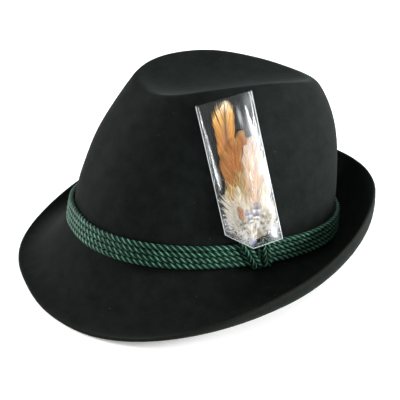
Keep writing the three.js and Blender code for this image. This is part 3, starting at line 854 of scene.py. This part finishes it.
def feather(row, random):
    """Points, faces and pattern numbers of one feather, in the sleeve's frame.

    The shaft is a parabola through foot and tip that bows sideways. Each barb leaves the shaft so
    far below its end that the end lies on the vane's edge. Neighbouring barbs share their noise,
    so that they cling together in clumps and leave gaps.
    """
    kind, foot, tip, width, fullest, blunt, bow, lift, loose = row
    foot, tip = (np.array([(a - 0.5) * SLEEVE_WIDTH, u * SLEEVE_LENGTH]) for a, u in (foot, tip))
    length = np.linalg.norm(tip - foot)
    ends, aside_share = (np.repeat(v, 2) for v in vane_edge(length, width, fullest, blunt))
    side = np.tile([-1.0, 1.0], len(ends) // 2)
    uneven = {what: tidy + added * loose for what, (tidy, added) in UNEVEN.items()}

    knots = np.linspace(0, 1, max(int(length / CLUMP_LENGTH), 4))
    clump = np.stack([np.interp(ends, knots, random.normal(size=len(knots))) for _ in range(4)])
    clump = np.where(side > 0, clump[:2], clump[2:])
    q = np.linspace(0, 1, BARB_STEPS)
    bend = 1 - BARB_BEND * q
    angle = np.radians(WIDE_BARB + (NARROW_BARB - WIDE_BARB) * ends ** NARROWING_POWER)
    aside = np.sin(angle[:, None] * bend).mean(1)
    forward = np.cos(angle[:, None] * bend).mean(1)
    reach = np.clip(width / 2 * aside_share / aside, SHORTEST_BARB, LONGEST_BARB)
    share = np.clip(ends - reach * forward / length, BARE_QUILL / 2, 0.99)

    each = random.normal(0, uneven["barb reach"], len(share))
    reach = reach * (1 + uneven["clump reach"] * clump[1] + each)
    angle = angle * (1 + uneven["clump angle"] * clump[0])
    angle = angle + np.radians(random.normal(0, uneven["barb degrees"], len(share)))
    turn = side[:, None] * angle[:, None] * bend
    roots, base = on_shaft(foot, tip, bow, share)
    c, s = np.cos(turn), np.sin(turn)
    along = np.stack([base[:, :1] * c + base[:, 1:] * s, base[:, 1:] * c - base[:, :1] * s], -1)
    steps = along[:, :-1] * (reach[:, None] / (BARB_STEPS - 1))[..., None]
    steps = np.concatenate([np.zeros((len(share), 1, 2)), np.cumsum(steps, 1)], 1)
    each = random.normal(0, uneven["barb height"], (len(share), 1))
    rise = lift - BARB_DROOP * q ** 2 + each * (0.3 + q)
    place = np.concatenate([roots[:, None] + steps, rise[..., None]], -1)
    strips = barb_strips(place, np.concatenate([along, 0 * along[..., :1]], -1), BARB_WIDTH)
    strips = within_sleeve(strips, FILM_CLEARANCE)

    each = random.uniform(0, 1, len(share)) * TONE["by barb"]
    tone = np.clip(each + TONE["middle"] + TONE["by clump"] * clump[0], 0, 1)
    numbers = {
        "along": np.repeat(share[:, None] + (ends - share)[:, None] * q, 3, 1).ravel(),
        "across": np.broadcast_to(np.repeat(q, 3), (len(share), BARB_STEPS * 3)).ravel(),
        "tone": np.repeat(tone, BARB_STEPS * 3),
    }
    points = strips.reshape(-1, 3)
    tube, tube_numbers = quill(foot, tip, bow, lift)
    faces = strip_faces(len(share), BARB_STEPS) + capped_tube(tube, len(points), False)
    numbers = {k: np.concatenate([v, tube_numbers[k]]) for k, v in numbers.items()}
    return np.concatenate([points, tube.reshape(-1, 3)]), faces, numbers


# %% [markdown]
# Down
#
# At the foot of the plume the feathers turn to down: loose threads that curl every way. Each is
# a thin strip too, and its direction drifts as it goes, which makes the curl.
# %% Curling down
DOWN_STEPS = 10
DOWN_WIDTH = 0.24
CURL = {"aim": 0.7, "turn": 1.1, "sway": 0.5, "waves": 7}


def down(count, middle, spread, length, lift, wander, random):
    """Curling threads: each heading drifts by its own rate and sways with its own wave."""
    start = np.array([(middle[0] - 0.5) * SLEEVE_WIDTH, middle[1] * SLEEVE_LENGTH])
    start = start + random.normal(0, 1, (count, 2)) * np.array(spread)
    q = np.linspace(0, 1, DOWN_STEPS)
    aim = math.pi / 2 + wander * random.normal(0, CURL["aim"], (count, 1))
    drift = random.normal(0, CURL["turn"], (count, 1)) * q
    sway = CURL["sway"] * np.sin(CURL["waves"] * q + random.uniform(0, 6, (count, 1)))
    aim = aim + wander * (drift + sway)
    along = np.stack([np.cos(aim), np.sin(aim)], -1)
    reach = length * random.uniform(0.5, 1.3, (count, 1, 1)) / (DOWN_STEPS - 1)
    steps = np.cumsum(along[:, :-1] * reach, 1)
    flat = start[:, None] + np.concatenate([np.zeros((count, 1, 2)), steps], 1)
    rise = random.uniform(0.2, 1, (count, 1)) * lift + random.normal(0, 0.5, (count, 1)) * q
    place = np.concatenate([flat, np.broadcast_to(rise, flat.shape[:2])[..., None]], -1)
    strips = barb_strips(place, np.concatenate([along, 0 * along[..., :1]], -1), DOWN_WIDTH)
    lowest = folded_foot(strips[..., 0] / SLEEVE_WIDTH + 0.5) + SLEEVE_SEAM
    strips[..., 1] = np.clip(strips[..., 1], lowest, SLEEVE_LENGTH)
    strips = within_sleeve(strips, FILM_CLEARANCE)
    numbers = {
        "along": np.repeat(random.uniform(0, 1, count), DOWN_STEPS * 3),
        "across": np.broadcast_to(np.repeat(q, 3), (count, DOWN_STEPS * 3)).ravel(),
        "tone": np.repeat(random.uniform(0, 1, count), DOWN_STEPS * 3),
    }
    return strips.reshape(-1, 3), strip_faces(count, DOWN_STEPS), numbers


# %% [markdown]
# The look of feathers
#
# A feather is keratin, white by itself and coloured by its pigment: here rust, amber, peach and
# cream. Barbs catch the light one by one, so each has its own tone. A ramp along the feather
# gives the bands, a mix lightens the outer ends of the barbs, and another darkens them near the
# shaft in the upper part.
# %% Feather materials
FEATHER_FINISHES = {
    # shares up the feather with their colours, then the barbs' outer ends, dark heart, its share
    "amber": (
        ((0.0, "#e9d2b0"), (0.3, "#c07c2b"), (0.55, "#a55b0e"), (0.78, "#b57328"),
         (0.9, "#cf9c52"), (1.0, "#efe3cd")),
        "#cf9838", "#4f3f30", 0.7),
    "rust": (
        ((0.0, "#e9d2b0"), (0.3, "#b87a25"), (0.6, "#935203"), (0.9, "#9c5a0e"), (1.0, "#bd8a48")),
        "#b4741a", "#74420c", 0.3),
    "peach": (
        ((0.0, "#e4d7c9"), (0.4, "#dcc0a6"), (0.75, "#cfa98b"), (1.0, "#dac3b1")),
        "#dfd0c3", "#c59c7b", 0.2),
    "golden": (
        ((0.0, "#ecdcae"), (0.5, "#b5842f"), (1.0, "#c79b48")),
        "#dcc381", "#8a5f22", 0.5),
    "cream": (
        ((0.0, "#e8e0d2"), (0.5, "#e6d5b7"), (1.0, "#ece2d0")),
        "#eee7da", "#d6bd96", 0.2),
    "down": (
        ((0.0, "#f2eee6"), (0.5, "#ebe1cf"), (0.78, "#e2d1b4"), (0.92, "#ccb89a"), (1.0, "#94836f")),
        "#fbf7ef", "#f0e6d2", 0.0),
    "barred": (
        ((0.0, "#e9e3d9"), (0.4, "#efeae2"), (0.5, "#33291f"), (0.55, "#fbf9f5"), (0.6, "#3a3133"),
         (0.68, "#8d8496"), (0.76, "#e2dcde"), (0.81, "#43382f"), (0.9, "#a1979f"), (1.0, "#5c5049")),
        "#c9c0c0", "#382d28", 0.5),
    "speckled": (
        ((0.0, "#d9ccb6"), (0.3, "#9c8871"), (0.42, "#f0e9dc"), (0.55, "#46372b"),
         (0.68, "#ece4d6"), (0.8, "#4b3b2e"), (0.92, "#f0e9dc"), (1.0, "#6d5c4c")),
        "#b9a88f", "#4a3a2b", 0.4),
    "blue": (((0.0, "#4f55a0"), (1.0, "#8f93c9")), "#a9acd8", "#5a5f9c", 0.0),
}


def feather_material(kind):
    """Keratin: a ramp along the feather, paler barb ends, a darker heart and a tone for each barb."""
    stops, ends, heart_colour, heart_share = FEATHER_FINISHES[kind]
    material, shader = new_material(
        f"{kind} feather keratin", Roughness=0.6, Specular_IOR_Level=0.3,
        Sheen_Weight=0.08, Sheen_Roughness=0.4)
    along = add(material, "ShaderNodeAttribute", attribute_name="along")
    ramp = add(material, "ShaderNodeValToRGB", {"Fac": along.outputs["Fac"]})
    while len(ramp.color_ramp.elements) < len(stops):
        ramp.color_ramp.elements.new(0.5)
    for element, (share, code) in zip(ramp.color_ramp.elements, stops):
        element.position, element.color = share, colour(code)
    across = add(material, "ShaderNodeAttribute", attribute_name="across")
    outer_share = add(material, "ShaderNodeMapRange", {"Value": across.outputs["Fac"]},
                      From_Min=0.4, To_Max=0.55)
    rimmed = add(material, "ShaderNodeMix",
                 {0: outer_share.outputs["Result"], 6: ramp.outputs["Color"], 7: ends},
                 data_type="RGBA")
    beside_shaft = add(material, "ShaderNodeMapRange", {"Value": across.outputs["Fac"]},
                       From_Max=0.45, To_Min=heart_share, To_Max=0.0)
    upper = add(material, "ShaderNodeMapRange", {"Value": along.outputs["Fac"]},
                interpolation_type="SMOOTHSTEP", From_Min=0.6, From_Max=0.74)
    amount = add(material, "ShaderNodeMath",
                 {0: beside_shaft.outputs["Result"], 1: upper.outputs["Result"]}, operation="MULTIPLY")
    hearted = add(material, "ShaderNodeMix",
                  {0: amount.outputs[0], 6: rimmed.outputs[2], 7: heart_colour}, data_type="RGBA")
    tone = add(material, "ShaderNodeAttribute", attribute_name="tone")
    light = add(material, "ShaderNodeMapRange", {"Value": tone.outputs["Fac"]},
                To_Min=0.62, To_Max=0.92)
    shaded = add(material, "ShaderNodeVectorMath",
                 {0: hearted.outputs[2], "Scale": light.outputs["Result"]}, operation="SCALE")
    link(material, shaded.outputs[0], shader.inputs["Base Color"])
    return material


# %% [markdown]
# Arranging the plume
#
# A long amber hackle and a shorter rust one stand behind, with a gap between their tips. Paler
# peach ones lie to the back of the hat, golden and cream ones in front of them. At the foot come
# two small barred ones, a few speckled and cream ones over them, a bit of blue and the down.
# Places are shares of the sleeve: how far across from its front edge, and how far up from its
# foot.
# %% The plume
STEM = (0.47, 0.075)
FEATHERS = (
    # kind, foot, tip, width mm, fullest, blunt, bow mm, lift mm, looseness
    ("amber", STEM, (0.515, 0.985), 12.6, 0.86, 3.2, -5.6, -0.8, 0.06),
    ("rust", STEM, (0.665, 0.775), 7.0, 0.8, 4.5, 0.6, -0.2, 0.05),
    ("rust", (0.47, 0.2), (0.52, 0.745), 11.0, 0.68, 2.4, -2.6, 0.3, 0.12),
    ("rust", (0.46, 0.2), (0.31, 0.68), 9.0, 0.65, 2.2, -1.6, 0.1, 0.15),
    ("peach", STEM, (0.84, 0.72), 12.0, 0.74, 2.6, 1.5, -0.5, 0.1),
    ("peach", STEM, (0.97, 0.56), 13.0, 0.68, 2.4, 2.0, 0.0, 0.12),
    ("peach", STEM, (0.70, 0.68), 9.0, 0.68, 2.4, 1.0, 0.7, 0.12),
    ("peach", STEM, (0.84, 0.58), 10.0, 0.68, 2.4, 1.4, 0.8, 0.12),
    ("peach", (0.5, 0.15), (0.60, 0.53), 10.0, 0.62, 2.2, 0.4, 1.2, 0.2),
    ("golden", (0.44, 0.15), (0.25, 0.46), 8.0, 0.6, 2.0, -1.0, 1.0, 0.6),
    ("cream", STEM, (0.17, 0.42), 10.0, 0.6, 2.0, -2.0, 0.5, 0.5),
    ("cream", (0.46, 0.12), (0.38, 0.44), 7.0, 0.6, 2.0, -0.6, 1.5, 0.4),
    ("peach", STEM, (0.64, 0.43), 11.0, 0.6, 2.0, 0.8, 1.6, 0.3),
    ("cream", STEM, (0.86, 0.42), 11.0, 0.6, 2.0, 1.6, 1.1, 0.4),
    ("cream", STEM, (0.97, 0.27), 8.0, 0.6, 2.0, 2.0, 0.4, 0.5),
    ("speckled", (0.44, 0.08), (0.27, 0.22), 6.0, 0.7, 2.4, -0.4, 1.9, 0.3),
    ("speckled", (0.5, 0.06), (0.86, 0.17), 7.0, 0.7, 2.4, 0.8, 1.7, 0.4),
    ("barred", (0.47, 0.09), (0.455, 0.275), 6.4, 0.78, 3.0, 0.0, 2.4, 0.08),
    ("barred", (0.53, 0.09), (0.65, 0.30), 7.2, 0.78, 3.0, 0.3, 2.6, 0.08),
    ("rust", (0.40, 0.19), (0.31, 0.315), 4.0, 0.6, 2.0, -0.4, 2.3, 0.6),
    ("speckled", (0.47, 0.07), (0.37, 0.225), 5.0, 0.7, 2.4, -0.3, 2.9, 0.35),
    ("speckled", (0.52, 0.07), (0.74, 0.235), 5.5, 0.7, 2.4, 0.5, 2.9, 0.35),
    ("speckled", (0.49, 0.05), (0.55, 0.165), 4.5, 0.7, 2.4, 0.1, 3.0, 0.35),
    ("cream", (0.46, 0.09), (0.39, 0.19), 5.5, 0.7, 2.2, -0.3, 2.5, 0.25),
    ("cream", (0.50, 0.09), (0.56, 0.20), 7.5, 0.7, 2.2, 0.3, 2.7, 0.25),
    ("blue", (0.475, 0.012), (0.49, 0.085), 4.0, 0.6, 2.0, 0.0, 3.4, 0.1),
)
WISPS = (
    # kind, count, middle, spread mm, length mm, lift mm, wander
    ("golden", 80, (0.46, 0.36), (2.8, 5.0), 17.0, 2.4, 0.4),
    ("cream", 120, (0.40, 0.26), (4.0, 4.0), 13.0, 2.2, 0.5),
    ("down", 380, (0.46, 0.12), (3.2, 4.0), 8.0, 2.0, 1.0),
    ("down", 300, (0.26, 0.23), (2.6, 6.5), 8.0, 1.6, 1.0),
    ("down", 360, (0.76, 0.16), (4.2, 5.0), 7.0, 2.0, 1.0),
)
random = np.random.default_rng(595)
made = {}
for row in FEATHERS:
    made.setdefault(row[0], []).append(feather(row, random))
for kind, *row in WISPS:
    made.setdefault(kind, []).append(down(*row, random))

for kind, parts in made.items():
    points, faces, numbers, start = [], [], {"along": [], "across": [], "tone": []}, 0
    for part_points, part_faces, part_numbers in parts:
        points.append(in_sleeve(*part_points.T))
        faces += [f + start for f in part_faces]
        start += len(part_points)
        for key in numbers:
            numbers[key].append(part_numbers[key])
    make_piece(f"plume_{kind}", np.concatenate(points), faces, feather_material(kind),
               ["plume"], {k: np.concatenate(v) for k, v in numbers.items()})

# %% [markdown]
# Crinkled film
#
# The sleeve is thin cellophane, sealed at its edges. It is stiff, so it doesn't drape: it
# buckles into sharp little folds, and each fold flashes where it turns towards a lamp. Those
# flashes come from real geometry here. A fold is a tent: its height falls off evenly to both
# sides of a line and fades at the line's ends. Broader glare is painted on: white mixed into the
# film in soft patches, stronger on the raised folds, stands in for reflections of the lamps.
# %% Folds in a sheet
FILM_COLUMNS, FILM_ROWS = 88, 214
FILM, FILM_GAP = 0.05, 0.12
FLAT_EDGE = 2.2
FOLD_HALF_LENGTHS, FOLD_HALF_WIDTHS = (9, 30), (2.4, 6.0)
FOLD_BOW, FOLD_BOW_SPREAD = 0.02, 0.3
FOLDS_INWARD = 0.35
DEEPEST_FOLD, BACK_FOLD_LIMIT = -0.18, 0.2
# Painted glare: its share on flat film, what raised folds add, and the most it reaches.
GLARE_ON_FOLDS = {"plain": 0.45, "folded": 0.75, "most": 0.75}
WHOLE_SHEET = ((-SLEEVE_WIDTH / 2, SLEEVE_WIDTH / 2), (0, SLEEVE_LENGTH))
FOLD_SETS = (
    # count, across and up as spans of mm, mean slant and its spread in degrees, heights in mm
    (12, WHOLE_SHEET, (98, 16), (0.1, 0.45)),
    (16, ((6, 20), (20, 100)), (78, 18), (0.3, 0.9)),
    (16, ((4, 20), (3, 20)), (60, 40), (0.2, 0.7)),
)
BACK_FOLDS = (24, WHOLE_SHEET, (90, 30), (0.05, 0.2))
# Soft patches of painted glare, where the film would reflect the lamps.
GLARE_PATCHES = (
    # share across, share up, half size across and up in mm, how much painted glare
    (0.83, 0.77, 4.0, 9.0, 0.34),
    (0.97, 0.64, 2.2, 13.0, 0.28),
    (0.80, 0.53, 6.5, 14.0, 0.28),
    (0.90, 0.94, 3.4, 5.0, 0.20),
    (0.69, 0.86, 1.3, 5.5, 0.50),
    (0.05, 0.72, 0.9, 11.0, 0.35),
    (0.09, 0.53, 1.1, 5.0, 0.60),
    (0.93, 0.34, 3.0, 15.0, 0.34),
    (0.10, 0.22, 3.0, 7.0, 0.40),
    (0.88, 0.07, 4.5, 6.0, 0.42),
    (0.34, 0.08, 5.0, 6.0, 0.42),
    (0.50, 0.28, 9.0, 9.0, 0.20),
)


def folds(x, y, fold_set, random):
    """Sum of tents: height times (1 - |distance| / half width), faded along the line's length."""
    count, places, slants, heights = fold_set
    total = np.zeros_like(x)
    for _ in range(count):
        cx, cy = (random.uniform(*span) for span in places)
        slant = math.radians(random.normal(*slants))
        half_long, half_wide = random.uniform(*FOLD_HALF_LENGTHS), random.uniform(*FOLD_HALF_WIDTHS)
        outward = random.uniform(*heights)
        height = outward * random.choice([-1, 1], p=[FOLDS_INWARD, 1 - FOLDS_INWARD])
        dx, dy = x - cx, y - cy
        along = dx * math.cos(slant) + dy * math.sin(slant)
        aside = -dx * math.sin(slant) + dy * math.cos(slant)
        aside = aside + FOLD_BOW * along ** 2 * random.normal(0, FOLD_BOW_SPREAD)
        tent = np.maximum(0, 1 - np.abs(aside) / half_wide)
        total += height * tent * np.maximum(0, 1 - (along / half_long) ** 2)
    return total


def painted_glare(x, y, lift):
    """How much white is painted on as glare: soft ovals, broken up by the folds that cross them."""
    total = np.zeros_like(x)
    for across, up, half_across, half_up, amount in GLARE_PATCHES:
        dx, dy = x - (across - 0.5) * SLEEVE_WIDTH, y - up * SLEEVE_LENGTH
        total += amount * np.exp(-(dx / half_across) ** 2 - (dy / half_up) ** 2)
    broken = GLARE_ON_FOLDS["plain"] + GLARE_ON_FOLDS["folded"] * smooth(lift, -0.05, 0.5)
    return np.clip(total * broken, 0, GLARE_ON_FOLDS["most"])


def film_sheet(side, random):
    """One sheet as its outer and inner face: the bulge and the folds, flat along the sealed edges."""
    u = np.linspace(0, 1, FILM_COLUMNS)[None, :]
    v = np.linspace(0, 1, FILM_ROWS)[:, None]
    x = (u - 0.5) * SLEEVE_WIDTH + 0 * v
    foot = folded_foot(u)
    y = foot + (SLEEVE_LENGTH - foot) * v
    edge = smooth(SLEEVE_WIDTH / 2 - np.abs(x), 0, FLAT_EDGE) * smooth(y - foot, 0, FLAT_EDGE)
    if side > 0:
        lift = sum(folds(x, y, fold_set, random) for fold_set in FOLD_SETS)
        lift = np.maximum(lift, DEEPEST_FOLD)
        # Painted glare on the sheet that faces away from the crown.
        glare_share = painted_glare(x, y, lift)
    else:
        lift = np.clip(folds(x, y, BACK_FOLDS, random), -BACK_FOLD_LIMIT, BACK_FOLD_LIMIT) / 2
        glare_share = np.zeros_like(x)
    z = side * (sleeve_bulge(x, y) + FILM_GAP + lift * edge)
    return x, y, z, z - side * FILM, glare_share


def closed_sheet(rows, columns, start):
    """Faces of two grids of points, one after the other, joined along all four edges."""
    size = rows * columns
    at = np.arange(size).reshape(rows, columns)
    loop = np.concatenate([at[0, :-1], at[:-1, -1], at[-1, :0:-1], at[:0:-1, 0]])
    following = np.roll(loop, -1)
    rim = np.stack([following, loop, loop + size, following + size], -1)
    back = grid_quads(rows, columns)[:, ::-1] + size
    return [grid_quads(rows, columns) + start, back + start, rim + start]


# %% [markdown]
# The look of cellophane
#
# Clear film shows what is behind it and mirrors a few per cent of what is in front, more where
# it turns away from the eye. So a Transparent shader is mixed with a Glossy one, whose share
# grows from a little to all of it with the fifth power of how far the film turns away. White is
# mixed in as painted light: painted glare in soft patches of the crumpled film, and a thin painted
# highlight along each sealed edge.
# %% Film material
LEAST_MIRRORED, MIRROR_POWER = 0.013, 5


def film_material():
    """Cellophane: see-through and mirror mixed by angle, with white painted in as glare and as a seam
    highlight.
    """
    material = bpy.data.materials.new("clear cellophane")
    material.use_nodes = True
    material.node_tree.nodes.clear()
    clear = add(material, "ShaderNodeBsdfTransparent", Color=colour("#fcfdfd"))
    gloss = add(material, "ShaderNodeBsdfGlossy", Roughness=0.1)
    facing = add(material, "ShaderNodeLayerWeight", Blend=0.5)
    steep = add(material, "ShaderNodeMath", {0: facing.outputs["Facing"], 1: MIRROR_POWER},
                operation="POWER")
    mirror = add(material, "ShaderNodeMapRange", {"Value": steep.outputs[0]}, To_Min=LEAST_MIRRORED)
    film = add(material, "ShaderNodeMixShader",
               {0: mirror.outputs["Result"], 1: clear.outputs[0], 2: gloss.outputs[0]})
    # Painted glare and seam highlight: a white diffuse surface mixed in by the white attribute.
    white = add(material, "ShaderNodeAttribute", attribute_name="white")
    painted_white = add(material, "ShaderNodeBsdfDiffuse", Color=colour("#eef2f5"))
    edged = add(material, "ShaderNodeMixShader",
                {0: white.outputs["Fac"], 1: film.outputs[0], 2: painted_white.outputs[0]})
    add(material, "ShaderNodeOutputMaterial", {"Surface": edged.outputs[0]})
    return material


# %% [markdown]
# Two sheets make the sleeve
#
# Each sheet is two grids, an outer and an inner face, joined along all four edges so that even
# this thin film is a closed body. The sealed edges get a narrow painted highlight, a white line,
# and the sheet that faces away from the crown has the folds that show and the patches of painted
# glare.
# %% The clear sleeve
# The sealed edges get a thin white painted highlight: its width and its strength.
SEAM_LINE, SEAM_HIGHLIGHT = 0.22, 0.6
random = np.random.default_rng(40103)
points, faces, white = [], [], []
for side in (1, -1):
    x, y, z_outer, z_inner, glare_share = film_sheet(side, random)
    outer_grid, inner_grid = in_sleeve(x, y, z_outer), in_sleeve(x, y, z_inner)
    if side < 0:
        outer_grid, inner_grid = inner_grid, outer_grid
    faces += closed_sheet(FILM_ROWS, FILM_COLUMNS, sum(len(p) for p in points))
    points += [outer_grid.reshape(-1, 3), inner_grid.reshape(-1, 3)]
    near = np.minimum(SLEEVE_WIDTH / 2 - np.abs(x), y - folded_foot(x / SLEEVE_WIDTH + 0.5))
    # Painted highlight along the sealed edges, plus painted glare on the outer face.
    seam = SEAM_HIGHLIGHT * (1 - smooth(near, 0, SEAM_LINE))
    white += [np.maximum(seam, glare_share).ravel(), seam.ravel()]
make_piece("film_sleeve", np.concatenate(points), faces, film_material(),
           ["clear_sleeve"], {"white": np.concatenate(white)})

# %% [markdown]
# Plain studio stage
#
# A white floor that glows a little, as a light table does, a strong soft light from each side
# and a weak one from above the camera. The surroundings are white at the horizon and dimmer
# overhead, so the crown's top stays dark while the side lights graze its flanks and bring up the
# nap of the felt.
# %% Floor, lights and surroundings
FLOOR_HALF = 6.0
FLOOR_GLOW = 0.2

floor_mesh = bpy.data.meshes.new("floor")
floor_mesh.from_pydata(
    [(-FLOOR_HALF, -FLOOR_HALF, 0), (FLOOR_HALF, -FLOOR_HALF, 0),
     (FLOOR_HALF, FLOOR_HALF, 0), (-FLOOR_HALF, FLOOR_HALF, 0)], [], [(0, 1, 2, 3)])
acrylic, _ = new_material("white acrylic light table", Base_Color=colour("#fbfbfb"), Roughness=0.9,
                          Emission_Color=colour("#ffffff"), Emission_Strength=FLOOR_GLOW)
floor_mesh.materials.append(acrylic)
floor = bpy.data.objects.new("floor", floor_mesh)
bpy.context.collection.objects.link(floor)

AIM = Vector((0, 0, 0.06))
LIGHTS = {
    # name: place in metres, size in metres, watts
    "key": ((1.1, -1.2, 1.6), 0.9, 2.5),
    "left_side": ((-1.2, -1.5, 0.8), 0.8, 45),
    "right_side": ((1.05, 1.6, 0.4), 0.8, 106),
}
for name, (place, size, watts) in LIGHTS.items():
    lamp = bpy.data.lights.new(name, "AREA")
    lamp.size, lamp.energy = size, watts
    light = bpy.data.objects.new(name, lamp)
    bpy.context.collection.objects.link(light)
    light.location = place
    light.rotation_euler = (AIM - Vector(place)).to_track_quat("-Z", "Y").to_euler()

OVERHEAD = 0.8
DIMMING_FROM, DIMMED_AT = 0.05, 0.5

world = bpy.data.worlds.new("studio")
bpy.context.scene.world = world
world.use_nodes = True
background = world.node_tree.nodes["Background"]
background.inputs["Color"].default_value = (1, 1, 1, 1)
direction = add(world, "ShaderNodeTexCoord").outputs["Generated"]
height = add(world, "ShaderNodeSeparateXYZ", {"Vector": direction})
strength = add(world, "ShaderNodeMapRange", {"Value": height.outputs["Z"]},
               From_Min=DIMMING_FROM, From_Max=DIMMED_AT, To_Min=1.0, To_Max=OVERHEAD)
link(world, strength.outputs["Result"], background.inputs["Strength"])
bpy.context.scene.view_settings.view_transform = "Standard"
